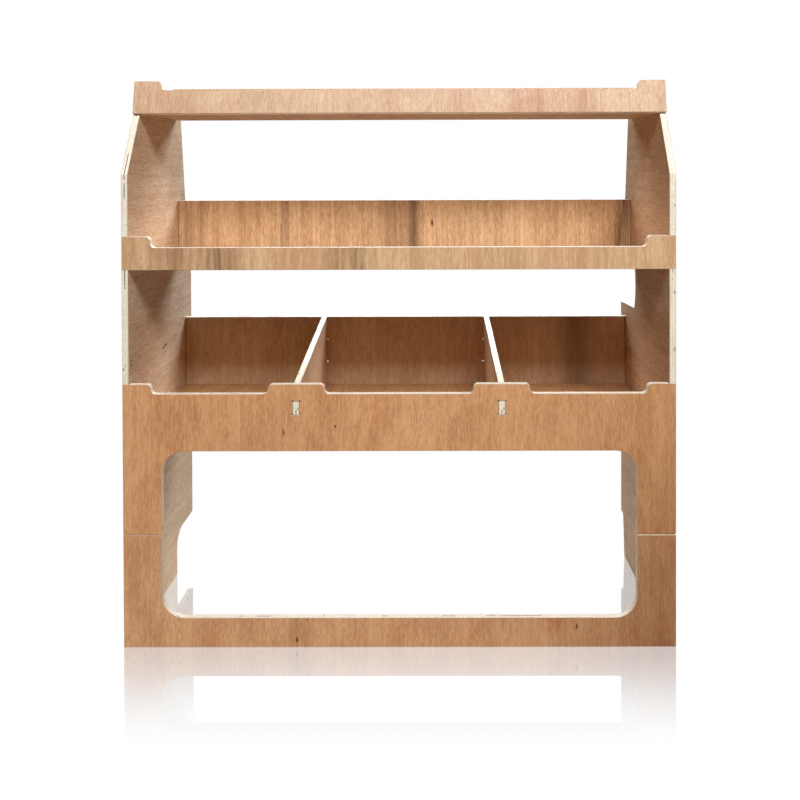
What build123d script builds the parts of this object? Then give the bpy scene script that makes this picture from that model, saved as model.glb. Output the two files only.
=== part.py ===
from build123d import *
import math
import os

# Shelving rack of slot-together plywood boards, made to stand against the wall of a van.
# Frame: +Z up, the floor at Z = 0, the front towards -Y, the origin under the middle of the box.
# A "depth" below is always measured backwards from the front face of the rack.

# Driving dimensions, in millimetres
PLY = 12.0              # board thickness
WIDTH = 1000.0          # over the outer faces of the two side panels
DEPTH = 350.0           # front face to the rearmost edge of the side panels
HEIGHT = 1037.0         # floor to the top of the top shelf's back panel
ARRIS = 0.5             # eased edges on every exposed board edge
FIT = 0.15              # gap round each tab in its slot
CUTTER = 2.2            # radius of the relief left by the cutter in each slot corner

# Side panels
SIDE_TOP = 1030.0
SLOPE_START = 856.5     # where the front edge leaves the vertical
SLOPE_END = (59.0, 969.0)
REAR_TOP = 280.0        # depth of the rear edge at the very top
REAR_KNEE = (313.5, 798.0)
REAR_FULL = 630.0       # height below which the rear edge is vertical

# Rear cut-outs in the side panels that clear the vehicle's body
WHEEL_NOTCH_TOP = 664.0
WHEEL_NOTCH_LEDGE = (570.0, 565.0)
WHEEL_NOTCH_DEPTHS = (238.0, 229.0, 236.0)
FLOOR_NOTCH_TOP = 89.0
FLOOR_NOTCH_DEPTH = 247.5
FLOOR_NOTCH_RADIUS = 35.0
SILL_NOTCH_DEPTHS = (333.0, 322.0)

# Raised ears and bumps along the top of each front board
EAR_FLAT = 43.0
EAR_RADIUS = 8.5        # of both quarter rounds where a raised part steps down
BUMP_HALF_FLAT = 43.0

# Top shelf
TOP_BASE_Z = 971.0
TOP_LIP_DEPTH = 54.0    # front bottom edge of the leaning lip
TOP_LIP_LEAN = 10.0     # degrees, leaning back
TOP_LIP_LOW = 45.0
TOP_LIP_EAR = 62.5
TOP_BACK_DEPTH = 244.5

# Middle shelf
MID_BASE_Z = 684.0
MID_LIP_LOW = 40.5
MID_LIP_EAR = 60.5
MID_BACK_DEPTH = 265.5
MID_BACK_TOP = 799.0

# Bins
BIN_BASE_Z = 377.0
BIN_BACK_DEPTH = 308.5
BIN_BACK_TOP = 539.0
FASCIA_LOW = 459.5
FASCIA_EAR = 477.0
DIVIDER_X = 186.0       # middle of each divider where it meets the fascia
DIVIDER_REAR_X = 179.3  # the dividers toe in towards the back
DIVIDER_TAB_Z = 434.0
DIVIDER_TAB = 23.0
DIVIDER_GAP = 0.2       # end gap that lets the toed-in divider sit square

# Large front opening under the bins
LEG = 70.0
OPENING_TOP = 356.0
OPENING_BOTTOM = 53.0
OPENING_RADIUS = 40.0
FASCIA_FOOT = 205.2
FRAME_LEG_TOPS = (204.4, 202.8)  # left, right

# Tabs on the shelf boards and back panels
TAB = 48.0
SMALL_TAB = 24.0

INNER = WIDTH / 2 - PLY


def side_plane(x):
    """Sketch plane of a side panel: local x is depth, local y is height."""
    return Plane(origin=(x, -DEPTH / 2, 0), x_dir=(0, 1, 0), z_dir=(1, 0, 0))


def upright_plane(depth, height=0.0, lean=0.0):
    """Sketch plane on the rear face of an upright board, facing the front."""
    tilt = math.radians(lean)
    return Plane(
        origin=(0, depth - DEPTH / 2, height),
        x_dir=(1, 0, 0),
        z_dir=(0, -math.cos(tilt), math.sin(tilt)),
    )


def flat_plane(height):
    """Sketch plane on the underside of a level board: local y is depth."""
    return Plane(origin=(0, -DEPTH / 2, height), x_dir=(1, 0, 0), z_dir=(0, 0, 1))


def slot(x, y, width, height):
    """Cut a tab slot with a cutter relief in each corner from the current sketch."""
    wide = width + 2 * FIT
    tall = height + 2 * FIT
    with Locations((x, y)):
        Rectangle(wide, tall, mode=Mode.SUBTRACT)
        with GridLocations(wide, tall, 2, 2):
            Circle(CUTTER, mode=Mode.SUBTRACT)


def raised_edge(low, high, bumps=()):
    """Draw the top edge of a front board, left to right, inside a BuildLine.

    Both ends stand up as ears, and each x in bumps is a raised part between them.
    """
    half = WIDTH / 2
    run = 2 * EAR_RADIUS

    def step(x, way):
        """Step down from the raised edge at x, to the right (way 1) or the left (way -1)."""
        shoulder = (x + way * EAR_RADIUS, high - EAR_RADIUS)
        foot = (x + way * EAR_RADIUS, low + EAR_RADIUS)
        RadiusArc((x, high), shoulder, way * EAR_RADIUS)
        Line(shoulder, foot)
        RadiusArc(foot, (x + way * run, low), -way * EAR_RADIUS)

    Line((-half, high), (-half + EAR_FLAT, high))
    step(-half + EAR_FLAT, 1)
    reached = -half + EAR_FLAT + run
    for x in bumps:
        rise = x - BUMP_HALF_FLAT
        fall = x + BUMP_HALF_FLAT
        Line((reached, low), (rise - run, low))
        step(rise, -1)
        Line((rise, high), (fall, high))
        step(fall, 1)
        reached = fall + run
    Line((reached, low), (half - EAR_FLAT - run, low))
    step(half - EAR_FLAT, -1)
    Line((half - EAR_FLAT, high), (half, high))


def lip_lean_depth(height):
    """Depth of the leaning top lip's rear face at a height."""
    lean = math.radians(TOP_LIP_LEAN)
    bottom_depth = TOP_LIP_DEPTH + PLY * math.cos(lean)
    bottom_height = TOP_BASE_Z - PLY * math.sin(lean)
    return bottom_depth + (height - bottom_height) * math.tan(lean)


# Levels and places worked out from the driving dimensions
TOP_BASE_FRONT = lip_lean_depth(TOP_BASE_Z + PLY)
MID_BASE_REAR = MID_BACK_DEPTH + PLY
BIN_BASE_REAR = BIN_BACK_DEPTH + PLY
TOP_BASE_REAR = TOP_BACK_DEPTH + PLY

# Each shelf board: underside height, front depth, rear depth, depths of its two tabs
SHELVES = {
    "top": (TOP_BASE_Z, TOP_BASE_FRONT, TOP_BASE_REAR, (115.0, 205.0)),
    "middle": (MID_BASE_Z, PLY, MID_BASE_REAR, (70.0, 200.0)),
    "bin": (BIN_BASE_Z, PLY, BIN_BASE_REAR, (80.0, 235.0)),
}

# Each back panel: front depth, bottom, top, tab height
BACKS = {
    "top": (TOP_BACK_DEPTH, TOP_BASE_Z + PLY, HEIGHT, SMALL_TAB),
    "middle": (MID_BACK_DEPTH, MID_BASE_Z + PLY, MID_BACK_TOP, TAB),
    "bin": (BIN_BACK_DEPTH, BIN_BASE_Z + PLY, BIN_BACK_TOP, TAB),
}


def side_slots():
    """Cut every shelf and back panel slot from a side panel's sketch."""
    for height, _, _, tab_depths in SHELVES.values():
        for depth in tab_depths:
            slot(depth, height + PLY / 2, TAB, PLY)
    for depth, bottom, top, tab in BACKS.values():
        slot(depth + PLY / 2, (bottom + top) / 2, PLY, tab)


def side_outline():
    """Draw the outline that both side panels share, inside a BuildLine."""
    lip_foot = TOP_BASE_Z - PLY * math.sin(math.radians(TOP_LIP_LEAN))
    mid_lip_top = MID_BASE_Z + MID_LIP_EAR
    Polyline(
        (PLY, 0),
        (PLY, FASCIA_EAR),
        (0, FASCIA_EAR),
        (0, MID_BASE_Z),
        (PLY, MID_BASE_Z),
        (PLY, mid_lip_top),
        (0, mid_lip_top),
        (0, SLOPE_START),
        (SLOPE_END[0], lip_foot),
        (lip_lean_depth(lip_foot), lip_foot),
        (lip_lean_depth(SIDE_TOP), SIDE_TOP),
        (REAR_TOP, SIDE_TOP),
        REAR_KNEE,
        (DEPTH, REAR_FULL),
        (DEPTH, 0),
        close=True,
    )


def ease(edges):
    """Break the sharp edges."""
    chamfer(edges, ARRIS)


def face_edges(part, axis):
    """Edges lying in the two broad faces of a board."""
    groups = part.edges().group_by(axis)
    return groups[0] + groups[-1]


os.makedirs("parts", exist_ok=True)

# Left side panel, with a deep round-cornered cut-out at the floor
with BuildPart() as left_side_panel:
    with BuildSketch(side_plane(-WIDTH / 2)):
        with BuildLine():
            side_outline()
        make_face()
        with BuildLine(mode=Mode.PRIVATE) as floor_notch:
            FilletPolyline(
                (DEPTH + PLY, FLOOR_NOTCH_TOP),
                (FLOOR_NOTCH_DEPTH, FLOOR_NOTCH_TOP),
                (FLOOR_NOTCH_DEPTH, -PLY),
                radius=FLOOR_NOTCH_RADIUS,
            )
            Polyline(
                (FLOOR_NOTCH_DEPTH, -PLY),
                (DEPTH + PLY, -PLY),
                (DEPTH + PLY, FLOOR_NOTCH_TOP),
            )
        make_face(floor_notch.edges(), mode=Mode.SUBTRACT)
        side_slots()
    extrude(amount=PLY)
    ease(face_edges(left_side_panel, Axis.X))
left_side_panel.part.label = "left_side_panel"
export_step(left_side_panel.part, "parts/left_side_panel.step")

# Right side panel, with a wheel arch cut-out half way up and a shallow one at the sill
with BuildPart() as right_side_panel:
    with BuildSketch(side_plane(INNER)):
        with BuildLine():
            side_outline()
        make_face()
        with BuildLine(mode=Mode.PRIVATE) as wheel_notch:
            lower, middle, upper = WHEEL_NOTCH_DEPTHS
            front_ledge, rear_ledge = WHEEL_NOTCH_LEDGE
            ThreePointArc(
                (lower, front_ledge),
                (middle, (front_ledge + WHEEL_NOTCH_TOP) / 2),
                (upper, WHEEL_NOTCH_TOP),
            )
            Polyline(
                (upper, WHEEL_NOTCH_TOP),
                (DEPTH + PLY, WHEEL_NOTCH_TOP),
                (DEPTH + PLY, rear_ledge),
                (DEPTH, rear_ledge),
                (lower, front_ledge),
            )
        make_face(wheel_notch.edges(), mode=Mode.SUBTRACT)
        with BuildLine(mode=Mode.PRIVATE) as sill_notch:
            Polyline(
                (DEPTH + PLY, FLOOR_NOTCH_TOP),
                (SILL_NOTCH_DEPTHS[0], FLOOR_NOTCH_TOP),
                (SILL_NOTCH_DEPTHS[1], 0),
                (SILL_NOTCH_DEPTHS[1], -PLY),
                (DEPTH + PLY, -PLY),
                close=True,
            )
        make_face(sill_notch.edges(), mode=Mode.SUBTRACT)
        side_slots()
    extrude(amount=PLY)
    ease(face_edges(right_side_panel, Axis.X))
right_side_panel.part.label = "right_side_panel"
export_step(right_side_panel.part, "parts/right_side_panel.step")

# Level shelf boards, with two tabs at each end
for shelf, (height, front, rear, tab_depths) in SHELVES.items():
    with BuildPart() as shelf_base:
        with BuildSketch(flat_plane(height)):
            with Locations((0, (front + rear) / 2)):
                Rectangle(2 * INNER, rear - front)
            with Locations(*[(0, depth) for depth in tab_depths]):
                Rectangle(WIDTH, TAB)
        extrude(amount=PLY)
        ease(face_edges(shelf_base, Axis.Z))
    name = "bin_base" if shelf == "bin" else f"{shelf}_shelf_base"
    shelf_base.part.label = name
    export_step(shelf_base.part, f"parts/{name}.step")

# Upright back panels, each standing on its shelf board, with one tab at each end
for shelf, (depth, bottom, top, tab) in BACKS.items():
    middle_z = (bottom + top) / 2
    with BuildPart() as back_panel:
        with BuildSketch(upright_plane(depth + PLY)):
            with Locations((0, middle_z)):
                Rectangle(2 * INNER, top - bottom)
                Rectangle(WIDTH, tab)
            if shelf == "bin":
                for side in (-1, 1):
                    slot(side * DIVIDER_REAR_X, middle_z, PLY + 2 * FIT, TAB)
        extrude(amount=PLY)
        ease(face_edges(back_panel, Axis.Y))
    name = "bin_back_panel" if shelf == "bin" else f"{shelf}_shelf_back_panel"
    back_panel.part.label = name
    export_step(back_panel.part, f"parts/{name}.step")

# Front lip of the middle shelf, let into the side panels' front edges
with BuildPart() as middle_shelf_front_lip:
    with BuildSketch(upright_plane(PLY, MID_BASE_Z)):
        with BuildLine():
            raised_edge(MID_LIP_LOW, MID_LIP_EAR)
            Polyline(
                (WIDTH / 2, MID_LIP_EAR),
                (WIDTH / 2, 0),
                (-WIDTH / 2, 0),
                (-WIDTH / 2, MID_LIP_EAR),
            )
        make_face()
    extrude(amount=PLY)
    ease(face_edges(middle_shelf_front_lip, Axis.Y))
middle_shelf_front_lip.part.label = "middle_shelf_front_lip"
export_step(middle_shelf_front_lip.part, "parts/middle_shelf_front_lip.step")

# Front lip of the top shelf, leaning back on the side panels' notched front edges
TOP_LIP_FOOT = TOP_BASE_Z - PLY * math.sin(math.radians(TOP_LIP_LEAN))
TOP_LIP_PLANE = upright_plane(lip_lean_depth(TOP_LIP_FOOT), TOP_LIP_FOOT, TOP_LIP_LEAN)
with BuildPart() as top_shelf_front_lip:
    with BuildSketch(TOP_LIP_PLANE):
        with BuildLine():
            raised_edge(TOP_LIP_LOW, TOP_LIP_EAR)
            Polyline(
                (WIDTH / 2, TOP_LIP_EAR),
                (WIDTH / 2, 0),
                (-WIDTH / 2, 0),
                (-WIDTH / 2, TOP_LIP_EAR),
            )
        make_face()
    extrude(amount=PLY)
    ease(face_edges(top_shelf_front_lip, Axis((0, 0, 0), TOP_LIP_PLANE.z_dir)))
top_shelf_front_lip.part.label = "top_shelf_front_lip"
export_step(top_shelf_front_lip.part, "parts/top_shelf_front_lip.step")

# Bin fascia: the upper half of the large opening, with a bump over each divider tab
with BuildPart() as bin_front_fascia:
    with BuildSketch(upright_plane(PLY)):
        with BuildLine():
            raised_edge(FASCIA_LOW, FASCIA_EAR, bumps=(-DIVIDER_X, DIVIDER_X))
            Polyline(
                (WIDTH / 2, FASCIA_EAR),
                (WIDTH / 2, FASCIA_FOOT),
                (WIDTH / 2 - LEG, FASCIA_FOOT),
            )
            FilletPolyline(
                (WIDTH / 2 - LEG, FASCIA_FOOT),
                (WIDTH / 2 - LEG, OPENING_TOP),
                (-WIDTH / 2 + LEG, OPENING_TOP),
                (-WIDTH / 2 + LEG, FASCIA_FOOT),
                radius=OPENING_RADIUS,
            )
            Polyline(
                (-WIDTH / 2 + LEG, FASCIA_FOOT),
                (-WIDTH / 2, FASCIA_FOOT),
                (-WIDTH / 2, FASCIA_EAR),
            )
        make_face()
        for side in (-1, 1):
            slot(side * DIVIDER_X, DIVIDER_TAB_Z, PLY + 2 * FIT, DIVIDER_TAB)
    extrude(amount=PLY)
    ease(face_edges(bin_front_fascia, Axis.Y))
bin_front_fascia.part.label = "bin_front_fascia"
export_step(bin_front_fascia.part, "parts/bin_front_fascia.step")

# Lower front frame: the lower half of the large opening, standing on the floor
with BuildPart() as lower_front_frame:
    left_top, right_top = FRAME_LEG_TOPS
    with BuildSketch(upright_plane(PLY)):
        with BuildLine():
            FilletPolyline(
                (-WIDTH / 2 + LEG, left_top),
                (-WIDTH / 2 + LEG, OPENING_BOTTOM),
                (WIDTH / 2 - LEG, OPENING_BOTTOM),
                (WIDTH / 2 - LEG, right_top),
                radius=OPENING_RADIUS,
            )
            Polyline(
                (WIDTH / 2 - LEG, right_top),
                (WIDTH / 2, right_top),
                (WIDTH / 2, 0),
                (-WIDTH / 2, 0),
                (-WIDTH / 2, left_top),
                (-WIDTH / 2 + LEG, left_top),
            )
        make_face()
    extrude(amount=PLY)
    ease(face_edges(lower_front_frame, Axis.Y))
lower_front_frame.part.label = "lower_front_frame"
export_step(lower_front_frame.part, "parts/lower_front_frame.step")

# Dividers between the three bins, tabbed through the fascia and the bin back panel
DIVIDER_TOE = math.atan2(DIVIDER_X - DIVIDER_REAR_X, BIN_BACK_DEPTH)
BIN_FLOOR = BIN_BASE_Z + PLY
BACK_TAB_Z = (BIN_FLOOR + BIN_BACK_TOP) / 2
for name, side in (("left_divider", -1), ("right_divider", 1)):
    divider_plane = Plane(
        origin=(side * DIVIDER_X, PLY / 2 - DEPTH / 2, 0),
        x_dir=(-side * math.sin(DIVIDER_TOE), math.cos(DIVIDER_TOE), 0),
        z_dir=(math.cos(DIVIDER_TOE), side * math.sin(DIVIDER_TOE), 0),
    )
    front = PLY / 2 + DIVIDER_GAP
    rear = BIN_BACK_DEPTH - PLY / 2 - DIVIDER_GAP
    tab_front = -PLY / 2 + DIVIDER_GAP
    tab_rear = BIN_BACK_DEPTH + PLY / 2 - DIVIDER_GAP
    with BuildPart() as divider:
        with BuildSketch(divider_plane):
            with BuildLine():
                Polyline(
                    (front, BIN_FLOOR),
                    (rear, BIN_FLOOR),
                    (rear, BIN_BACK_TOP),
                    (front, FASCIA_EAR),
                    close=True,
                )
            make_face()
            with Locations(((tab_front + front) / 2, DIVIDER_TAB_Z)):
                Rectangle(front - tab_front, DIVIDER_TAB)
            with Locations(((rear + tab_rear) / 2, BACK_TAB_Z)):
                Rectangle(tab_rear - rear, TAB)
        extrude(amount=PLY / 2, both=True)
        ease(face_edges(divider, Axis((0, 0, 0), divider_plane.z_dir)))
    divider.part.label = name
    export_step(divider.part, f"parts/{name}.step")
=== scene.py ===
import math

import bpy
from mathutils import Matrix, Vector


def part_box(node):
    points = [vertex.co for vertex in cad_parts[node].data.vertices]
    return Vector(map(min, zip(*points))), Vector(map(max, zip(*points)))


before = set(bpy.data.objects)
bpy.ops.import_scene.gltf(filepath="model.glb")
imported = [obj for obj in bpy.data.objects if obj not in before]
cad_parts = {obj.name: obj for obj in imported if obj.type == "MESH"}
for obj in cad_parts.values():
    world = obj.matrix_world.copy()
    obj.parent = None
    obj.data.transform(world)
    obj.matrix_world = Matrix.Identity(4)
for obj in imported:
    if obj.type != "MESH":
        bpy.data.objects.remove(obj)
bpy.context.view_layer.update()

# Light. The bounces are the floor's matt colour by the rack and at BOUNCE_REACH from it
FRONT_POWER = 222.0
REAR_POWER = 178.0
FRONT_WHITE = (1.0, 1.0, 1.0)
REAR_COOL = (1.0, 1.12, 1.24)
WORLD_LIGHT = 0.01
NEAR_BOUNCE = (0.48, 0.41, 0.33, 1.0)
FAR_BOUNCE = (0.17, 0.16, 0.15, 1.0)
BOUNCE_REACH = 1.1

# Boards
PLY = 0.012
PLIES = 7
FACE_LIMIT = 0.85       # a surface this square to the way through a board is one of its two faces
JOINT_X = 0.4875        # where a back panel meets the side panels
LIP_LEAN = math.radians(10.0)
DIVIDER_TOE = math.atan2(0.0067, 0.3085)

X = Vector((1, 0, 0))
Y = Vector((0, 1, 0))
Z = Vector((0, 0, 1))


def srgb(red, green, blue):
    """Linear colour of an sRGB colour given from 0 to 255."""
    def linear(value):
        value /= 255
        return value / 12.92 if value <= 0.04045 else ((value + 0.055) / 1.055) ** 2.4
    return (linear(red), linear(green), linear(blue), 1.0)


class Graph:
    """A material's nodes, with one short call for each kind."""

    def __init__(self, name):
        self.material = bpy.data.materials.new(name)
        self.material.use_nodes = True
        self.tree = self.material.node_tree
        self.tree.nodes.clear()
        self.output = self.tree.nodes.new("ShaderNodeOutputMaterial")

    def node(self, kind, inputs=None, **settings):
        made = self.tree.nodes.new("ShaderNode" + kind)
        for key, value in settings.items():
            setattr(made, key, value)
        for key, value in (inputs or {}).items():
            self.set(made.inputs[key], value)
        return made

    def set(self, socket, value):
        if isinstance(value, bpy.types.NodeSocket):
            self.tree.links.new(value, socket)
        else:
            socket.default_value = value

    def math(self, operation, *values, clamp=False):
        made = self.node("Math", operation=operation, use_clamp=clamp)
        for socket, value in zip(made.inputs, values):
            self.set(socket, value)
        return made.outputs[0]

    def add(self, first, *rest):
        for value in rest:
            first = self.math("ADD", first, value)
        return first

    def times(self, first, *rest):
        for value in rest:
            first = self.math("MULTIPLY", first, value)
        return first

    def span(self, value, low, high, start=0.0, end=1.0):
        """Smoothly map low..high onto start..end."""
        made = self.node("MapRange", interpolation_type="SMOOTHSTEP")
        for socket, number in zip(made.inputs, (value, low, high, start, end)):
            self.set(socket, number)
        return made.outputs[0]

    def dot(self, vector, axis):
        made = self.node("VectorMath", operation="DOT_PRODUCT")
        self.set(made.inputs[0], vector)
        made.inputs[1].default_value = axis
        return made.outputs["Value"]

    def stretched(self, vector, scale):
        made = self.node("VectorMath", operation="MULTIPLY")
        self.set(made.inputs[0], vector)
        made.inputs[1].default_value = scale
        return made.outputs[0]

    def noise(self, vector, scale, detail=2.0, roughness=0.5, distortion=0.0):
        """Noise between 0 and 1 whose scale differs along each axis of the vector."""
        made = self.node("TexNoise", {
            "Vector": self.stretched(vector, scale),
            "Scale": 1.0,
            "Detail": detail,
            "Roughness": roughness,
            "Distortion": distortion,
        })
        return made.outputs["Fac"]

    def blend(self, factor, first, second, kind="MIX"):
        made = self.node("Mix", data_type="RGBA", blend_type=kind)
        self.set(made.inputs["Factor"], factor)
        self.set(made.inputs["A"], first)
        self.set(made.inputs["B"], second)
        return made.outputs["Result"]

    def tinted(self, colour, tint):
        return self.blend(1.0, colour, tint, "MULTIPLY")

    def join(self, x, y, z):
        return self.node("CombineXYZ", {"X": x, "Y": y, "Z": z}).outputs[0]


def centred(g, noise, low=0.3, high=0.7):
    """Noise stretched to run from about -1 to 1."""
    return g.span(noise, low, high, -1.0, 1.0)


def gaussian(g, along, across, spot):
    """1 at the spot's centre, falling away over its two radii."""
    long_way = g.times(g.add(along, -spot["at"][0]), 1 / spot["radius"][0])
    short_way = g.times(g.add(across, -spot["at"][1]), 1 / spot["radius"][1])
    square = g.add(g.times(long_way, long_way), g.times(short_way, short_way))
    return g.math("POWER", math.e, g.times(square, -1.0))


def veneer_depth(g, place, board, streak, fibre):
    """Where the veneer lies between its pale colour, 0, and its deep one, 1."""
    tone = centred(g, g.noise(place, (1.1, 8.0, 1.0), 3.0, 0.55))
    cloud = centred(g, g.noise(place, (9.0, 22.0, 1.0), 2.0, 0.5, 0.3))
    field = g.noise(place, (board.get("figure_length", 1.9), 6.5, 1.0), 1.5, 0.4, 0.3)
    ring = g.math("FRACT", g.times(field, board.get("rings", 15.0)))
    growth = g.times(g.math("POWER", ring, 2.2), g.span(ring, 1.0, 0.86))
    fleck = centred(g, g.noise(place, (84.0, 460.0, 1.0), 3.0, 0.65), 0.36, 0.64)
    depth = g.add(
        0.5,
        g.times(tone, board.get("tone", 0.16)),
        g.times(cloud, board.get("cloud", 0.12)),
        g.times(growth, board.get("growth", 0.24)),
        g.times(centred(g, streak), board.get("streak", 0.18)),
        g.times(fleck, board.get("fleck", 0.24)),
        g.times(centred(g, fibre, 0.34, 0.66), 0.26),
    )
    return g.math("ADD", depth, 0.0, clamp=True)


def stained(g, colour, place, board, streak):
    """The colour with the board's stains. They wander and follow the streaks, apart from smooth ones."""
    along, across, _ = g.node("SeparateXYZ", {"Vector": place}).outputs
    wander = g.add(across, g.times(g.add(g.noise(place, (5.0, 4.0, 1.0), 2.0), -0.5), 0.035))
    for spot in board.get("stains", ()):
        if spot.get("smooth"):
            amount = gaussian(g, along, across, spot)
        else:
            frayed = g.span(streak, 0.35, 0.6, 0.5, 1.0)
            amount = g.times(gaussian(g, along, wander, spot), frayed)
        amount = g.math("MULTIPLY", amount, spot["strength"], clamp=True)
        colour = g.blend(amount, colour, g.tinted(colour, spot["tint"]))
    return colour


def knotted(g, colour, place, board, fibre):
    """The colour with the board's knots, each nearly black in a ring of heartwood."""
    along, across, _ = g.node("SeparateXYZ", {"Vector": place}).outputs
    ragged = g.add(across, g.times(g.add(fibre, -0.5), 0.003))
    for spot in board.get("knots", ()):
        amount = gaussian(g, along, ragged, spot)
        colour = g.blend(g.span(amount, 0.05, 0.6, 0.0, 0.45), colour, g.tinted(colour, HEART))
        colour = g.blend(g.span(amount, 0.55, 0.75, 0.0, 0.9), colour, srgb(58, 38, 26))
    return colour


def veneer_colour(g, place, board):
    """Colour and height of a face veneer. place runs along the grain, across it, and through it."""
    streak = g.noise(place, (3.0, 120.0, 1.0), 5.0, 0.65)
    fibre = g.noise(place, (40.0, 760.0, 1.0), 3.0, 0.7)
    pore = g.span(g.noise(place, (75.0, 1500.0, 1.0), 1.0, 0.5), 0.62, 0.74)
    depth = veneer_depth(g, place, board, streak, fibre)
    colour = g.blend(depth, srgb(*board["pale"]), srgb(*board["deep"]))
    blush = g.span(g.noise(place, (2.2, 13.0, 4.0), 2.0, 0.5), 0.45, 0.75, 0.0, board.get("blush", 0.4))
    colour = g.blend(blush, colour, g.tinted(colour, BLUSH))
    colour = g.blend(g.times(pore, 0.3), colour, srgb(*board["pore"]))
    colour = stained(g, colour, place, board, streak)
    colour = knotted(g, colour, place, board, fibre)
    height = g.add(g.times(fibre, 0.6), g.times(streak, 0.5), g.times(pore, -1.2))
    return colour, height


def edge_colour(g, place, through):
    """Colour and height of a cut edge, where the plies show. through is 0 to 1 across them."""
    wavy = g.add(through, g.times(g.add(g.noise(place, (9.0, 9.0, 9.0), 2.0), -0.5), 0.035))
    layer = g.times(wavy, PLIES)
    number = g.math("FLOOR", layer)
    within = g.math("FRACT", layer)
    end_grain = g.math("MODULO", number, 2.0)
    glue = g.math("MINIMUM", within, g.math("SUBTRACT", 1.0, within))
    glue = g.span(glue, 0.1, 0.02)
    speckle = g.noise(place, (900.0, 900.0, 900.0), 2.0, 0.6)
    plane = g.join(g.dot(place, X), g.dot(place, Y), g.times(number, 3.1))
    fleck = g.noise(plane, (260.0, 260.0, 1.0), 3.0, 0.6)
    shade = g.noise(plane, (9.0, 9.0, 1.0), 3.0)

    colour = g.blend(g.span(fleck, 0.35, 0.65), srgb(255, 251, 240), srgb(250, 239, 216))
    dark = g.times(g.span(g.add(g.times(speckle, 0.5), g.times(fleck, 0.5)), 0.38, 0.6), end_grain)
    colour = g.blend(g.times(dark, 0.48), colour, srgb(206, 170, 120))
    colour = g.blend(g.span(shade, 0.55, 0.75, 0.0, 0.5), colour, srgb(210, 180, 136))
    colour = g.blend(g.times(glue, 0.5), colour, srgb(150, 112, 74))
    in_core = g.math("COMPARE", number, PLIES // 2, 0.5)
    split = g.times(g.span(g.noise(plane, (11.0, 11.0, 1.0), 3.0, 0.65), 0.54, 0.58), in_core)
    hole = g.span(g.noise(plane, (48.0, 48.0, 1.0), 2.0, 0.6), 0.66, 0.7)
    hole = g.times(g.math("MAXIMUM", split, hole), end_grain)
    colour = g.blend(hole, colour, srgb(112, 66, 38))
    skin = g.math("MINIMUM", through, g.math("SUBTRACT", 1.0, through))
    colour = g.blend(g.span(skin, 0.08, 0.05, 0.0, 0.8), colour, srgb(176, 130, 90))
    height = g.add(g.times(speckle, 0.6), g.times(glue, -0.8), g.times(hole, -1.2))
    return colour, height


def plywood(name, board):
    """Plywood with a hardwood face veneer, and cross plies on every cut edge."""
    g = Graph(name)
    point = g.node("TexCoord").outputs["Object"]
    normal = g.node("NewGeometry").outputs["True Normal"]
    grain, through = board["grain"], board["through"]
    low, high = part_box(board["node"])
    middle = (low + high) / 2
    along = g.dot(point, grain)
    side = g.dot(point, through.cross(grain))
    offset = g.add(g.dot(point, through), -middle.dot(through))
    place = g.join(along, side, g.add(g.times(offset, 22.0), board["seed"]))

    face, face_height = veneer_colour(g, place, board)
    depth = g.math("ADD", g.math("DIVIDE", offset, PLY), 0.5, clamp=True)
    edge, edge_height = edge_colour(g, g.join(along, side, offset), depth)
    is_face = g.math("GREATER_THAN", g.math("ABSOLUTE", g.dot(normal, through)), FACE_LIMIT)
    colour = g.blend(is_face, edge, face)
    is_edge = g.math("SUBTRACT", 1.0, is_face)
    height = g.add(g.times(is_face, face_height), g.times(is_edge, edge_height))

    grime = g.noise(point, (7.0, 7.0, 7.0), 3.0, 0.6)
    colour = g.blend(g.span(grime, 0.45, 0.8, 0.0, 0.1), colour, srgb(120, 88, 60))
    rough = g.span(g.noise(place, (30.0, 220.0, 1.0), 2.0), 0.3, 0.7, 0.4, 0.54)
    bump = g.node("Bump", {"Strength": 0.35, "Distance": 0.00025, "Height": height})
    shader = g.node("BsdfPrincipled", {
        "Base Color": colour,
        "Roughness": rough,
        "Normal": bump.outputs[0],
        "IOR": 1.52,
        "Specular IOR Level": 0.5,
    })
    g.tree.links.new(shader.outputs[0], g.output.inputs["Surface"])
    return g.material


# Tints that a stain, a knot, dark heartwood or painted shade multiplies the veneer by
BLUSH = (0.97, 0.86, 0.84, 1.0)
HEART = (0.36, 0.29, 0.25, 1.0)
RED = (0.80, 0.55, 0.50, 1.0)
# Tint of the painted shade on the lower right of the fascia and the lower frame
SHADE_TINT = (0.52, 0.43, 0.35, 1.0)
PALE = (1.12, 1.18, 1.26, 1.0)

# Veneers
TAN = {"pale": (225, 171, 121), "deep": (188, 129, 82), "pore": (150, 98, 60)}
# TAN made paler for the lower frame: painted light, making up for the light that falls off towards the
# floor
TAN_WITH_PAINTED_LIGHT = {"pale": (228, 180, 134), "deep": (192, 138, 96), "pore": (150, 98, 60)}
PEACH = {"pale": (226, 193, 158), "deep": (194, 151, 116), "pore": (172, 124, 90)}
HONEY = {"pale": (221, 182, 140), "deep": (188, 144, 102), "pore": (156, 110, 70)}
AMBER = {"pale": (224, 190, 148), "deep": (176, 136, 96), "pore": (150, 106, 66)}
BIRCH = {"pale": (230, 192, 150), "deep": (198, 154, 112), "pore": (156, 110, 70)}
# Partly the veneer's own colour and partly painted sheen: paler and greyer to stand in for the whitish
# grazing reflection on the side panel's and the dividers' inner faces
ASHEN_WITH_PAINTED_SHEEN = {"pale": (232, 206, 178), "deep": (196, 164, 131), "pore": (156, 116, 82)}
UMBER = {"pale": (223, 190, 156), "deep": (185, 147, 112), "pore": (150, 108, 72)}
FAWN = {"pale": (204, 159, 112), "deep": (168, 119, 75), "pore": (146, 98, 60)}
OLIVE = {"pale": (208, 178, 144), "deep": (177, 140, 103), "pore": (146, 104, 66)}

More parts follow.
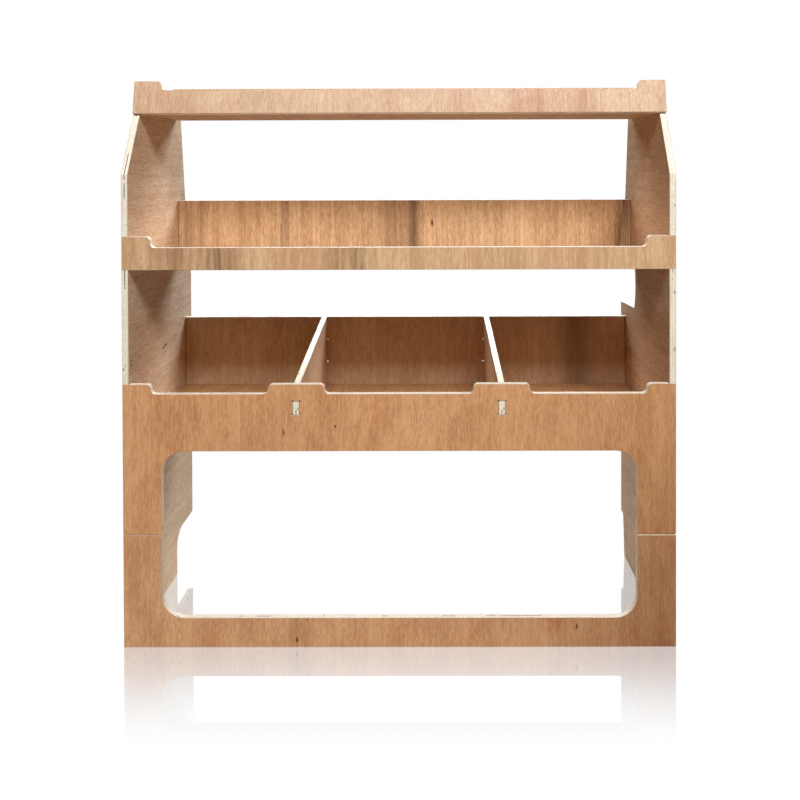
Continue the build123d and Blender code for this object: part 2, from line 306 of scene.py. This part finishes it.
TILTED = Vector((0, -math.cos(LIP_LEAN), math.sin(LIP_LEAN)))
UP_THE_LIP = Vector((0, math.sin(LIP_LEAN), math.cos(LIP_LEAN)))


def divider_axis(side):
    """The way through a toed-in divider, on the left (-1) or the right (1)."""
    return Vector((math.cos(DIVIDER_TOE), side * math.sin(DIVIDER_TOE), 0))


def band(across, width, strength, tint=HEART):
    """A stripe that runs the whole length of the board, along its grain."""
    return {"at": (0.5, across), "radius": (3.0, width), "strength": strength, "tint": tint}


def plain_band(across, width, strength, tint=HEART):
    """A stripe with straight, soft sides."""
    return dict(band(across, width, strength, tint), smooth=True)


def patch(along, across, length, width, strength, tint=HEART):
    """A stain of limited length."""
    return {"at": (along, across), "radius": (length, width), "strength": strength, "tint": tint}


def knot(along, across, length, width):
    """A small dark knot."""
    return {"at": (along, across), "radius": (length, width)}


# Painted shade: dark lines at both ends of a back panel, where shade falls between it and the side
# panels
JOINT_SHADE_LINES = [plain_band(side * JOINT_X, 0.0016, 0.9) for side in (-1, 1)]
# Painted shade: the lower right of the fascia and the lower frame darkened, as if less light reached it
PAINTED_SHADE_CORNER = dict(patch(0.0, 0.54, 0.41, 0.25, 1.0, SHADE_TINT), smooth=True)

# Every board: its veneer, the way its grain runs and the way through it. Stains and knots are placed by
# distance along the grain, then across it
BOARDS = {
    "top_shelf_front_lip": dict(
        PEACH, grain=UP_THE_LIP, through=-TILTED, seed=3.1, growth=0.3, rings=20.0, fleck=0.3,
        stains=[band(0.225, 0.026, 0.75, RED), band(0.262, 0.013, 0.7, RED),
                band(0.352, 0.012, 0.75, RED), band(0.12, 0.020, 0.4, RED),
                band(-0.02, 0.008, 0.4, RED)]),
    "middle_shelf_front_lip": dict(
        BIRCH, grain=Z, through=Y, seed=7.7, streak=0.34,
        stains=[band(-0.32, 0.028, 0.85), band(-0.41, 0.045, 0.5), band(-0.072, 0.014, 0.65),
                band(-0.11, 0.03, 0.35), band(0.3, 0.2, 0.3, PALE)]),
    "bin_front_fascia": dict(
        TAN, grain=Z, through=Y, seed=12.4, growth=-0.35, rings=12.0,
        stains=[PAINTED_SHADE_CORNER, patch(0.42, 0.03, 0.3, 0.15, 0.75, PALE)],
        knots=[knot(0.401, -0.115, 0.003, 0.0018), knot(0.39, -0.209, 0.008, 0.0015)]),
    "lower_front_frame": dict(
        TAN_WITH_PAINTED_LIGHT, grain=Z, through=Y, seed=19.2, fleck=0.26, cloud=0.2,
        stains=[PAINTED_SHADE_CORNER, patch(0.044, 0.287, 0.02, 0.016, 0.8, RED),
                patch(0.03, -0.19, 0.05, 0.02, 0.25)],
        knots=[knot(0.013, -0.186, 0.005, 0.0028), knot(0.0495, -0.1675, 0.003, 0.0012),
               knot(0.037, 0.32, 0.006, 0.002)]),
    "top_shelf_back_panel": dict(HONEY, grain=Z, through=Y, seed=23.8),
    "middle_shelf_back_panel": dict(
        AMBER, grain=Z, through=Y, seed=28.3, tone=0.14, streak=0.3, growth=0.2, figure_length=3.0,
        stains=[band(-0.455, 0.024, 0.5), band(-0.258, 0.018, 0.55), plain_band(-0.025, 0.034, 0.6),
                plain_band(0.021, 0.013, 1.0), band(0.47, 0.016, 1.0), band(0.14, 0.08, 0.5, PALE),
                *JOINT_SHADE_LINES],
        knots=[knot(0.750, 0.060, 0.008, 0.003)]),
    "bin_back_panel": dict(
        OLIVE, grain=Z, through=Y, seed=33.9,
        stains=[plain_band(0.378, 0.042, 0.8), band(0.44, 0.02, 0.4, RED), *JOINT_SHADE_LINES]),
    "top_shelf_base": dict(HONEY, grain=Y, through=-Z, seed=38.5),
    "middle_shelf_base": dict(HONEY, grain=Y, through=-Z, seed=41.6),
    "bin_base": dict(FAWN, grain=Y, through=-Z, seed=47.0),
    "left_side_panel": dict(
        ASHEN_WITH_PAINTED_SHEEN, grain=Y, through=X, seed=52.2, streak=0.2, tone=0.1, cloud=0.07, fleck=0.32, blush=0.12,
        knots=[knot(0.0105, 0.506, 0.012, 0.0028), knot(-0.001, 0.5025, 0.008, 0.0022),
               knot(-0.165, 0.5185, 0.004, 0.002), knot(-0.163, 0.509, 0.005, 0.0015)]),
    "right_side_panel": dict(
        UMBER, grain=Y, through=-X, seed=59.4, tone=0.1, cloud=0.07, fleck=0.32, blush=0.12),
    "left_divider": dict(ASHEN_WITH_PAINTED_SHEEN, grain=Z, through=divider_axis(-1), seed=63.5),
    "right_divider": dict(ASHEN_WITH_PAINTED_SHEEN, grain=Z, through=divider_axis(1), seed=69.1),
}

for node, board in BOARDS.items():
    material = plywood(node + "_plywood", dict(board, node=node))
    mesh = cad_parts[node].data
    mesh.materials.clear()
    mesh.materials.append(material)


# Floor: white, with a polished patch round the rack that fades out
REFLECTION = 0.57
REFLECTION_REACH = 0.24
HALF_SIZE = Vector((0.5, 0.175))
FLOOR_SIDE = 60.0
WHITE = (1.0, 1.0, 1.0, 1.0)


def floor_material():
    """Seen as plain white, it gives back light as a matt floor, warmest and most near the rack."""
    g = Graph("pale_floor")
    point = g.node("TexCoord").outputs["Object"]
    x, y, _ = g.node("SeparateXYZ", {"Vector": point}).outputs
    out_x = g.math("MAXIMUM", g.add(g.math("ABSOLUTE", x), -HALF_SIZE.x), 0.0)
    out_y = g.math("MAXIMUM", g.add(g.math("ABSOLUTE", y), -HALF_SIZE.y), 0.0)
    away = g.math("SQRT", g.add(g.times(out_x, out_x), g.times(out_y, out_y)))
    rays = g.node("LightPath").outputs
    shine = g.span(away, 0.0, REFLECTION_REACH, REFLECTION, 0.0)
    bounce = g.blend(g.span(away, 0.0, BOUNCE_REACH), NEAR_BOUNCE, FAR_BOUNCE)
    matt = g.node("BsdfDiffuse", {"Color": bounce})
    white = g.node("Emission", {"Color": WHITE, "Strength": 1.0})
    mirror = g.node("BsdfGlossy", {"Color": WHITE, "Roughness": 0.0})
    seen = g.node("MixShader", {0: shine, 1: white.outputs[0], 2: mirror.outputs[0]})
    mixed = g.node("MixShader", {0: rays["Is Camera Ray"], 1: matt.outputs[0], 2: seen.outputs[0]})
    g.tree.links.new(mixed.outputs[0], g.output.inputs["Surface"])
    return g.material


bpy.ops.mesh.primitive_plane_add(size=FLOOR_SIDE)
floor = bpy.context.object
floor.name = "floor"
floor.data.materials.append(floor_material())


# Light: two long strips overhead, one in front and one behind, in a dim pale room
def strip_light(name, place, target, length, width, power, colour):
    data = bpy.data.lights.new(name, "AREA")
    data.shape = "RECTANGLE"
    data.size = length
    data.size_y = width
    data.energy = power
    data.color = colour
    light = bpy.data.objects.new(name, data)
    light.location = place
    light.rotation_euler = (Vector(target) - Vector(place)).to_track_quat("-Z", "Y").to_euler()
    bpy.context.scene.collection.objects.link(light)


strip_light("front_light", (0.5, -3.05, 3.6), (0.5, 0, 0.7), 3.0, 1.0, FRONT_POWER, FRONT_WHITE)
strip_light("rear_light", (0.42, 2.0, 2.93), (0.42, 0, 0.7), 2.5, 1.7, REAR_POWER, REAR_COOL)


def studio_world():
    """White where the camera or the polished floor sees it, and dim for everything else."""
    world = bpy.data.worlds.new("studio")
    world.use_nodes = True
    nodes, links = world.node_tree.nodes, world.node_tree.links
    rays = nodes.new("ShaderNodeLightPath").outputs
    seen = nodes.new("ShaderNodeMath")
    seen.operation = "MAXIMUM"
    links.new(rays["Is Camera Ray"], seen.inputs[0])
    links.new(rays["Is Singular Ray"], seen.inputs[1])
    strength = nodes.new("ShaderNodeMapRange")
    links.new(seen.outputs[0], strength.inputs["Value"])
    strength.inputs["To Min"].default_value = WORLD_LIGHT
    strength.inputs["To Max"].default_value = 1.0
    links.new(strength.outputs[0], nodes["Background"].inputs["Strength"])
    nodes["Background"].inputs["Color"].default_value = WHITE
    bpy.context.scene.world = world


studio_world()
bpy.context.scene.view_settings.view_transform = "Standard"

# Camera
camera_data = bpy.data.cameras.new("camera")
camera_data.sensor_width = 36.0
camera_data.lens = 33.677
camera_data.shift_x = -0.0398
camera_data.shift_y = -0.2778
camera = bpy.data.objects.new("camera", camera_data)
camera.location = (0.0645, -1.5217, 0.8627)
camera.rotation_euler = [math.radians(angle) for angle in (89.4415, 0.1757, 0.1633)]
bpy.context.scene.collection.objects.link(camera)
bpy.context.scene.camera = camera
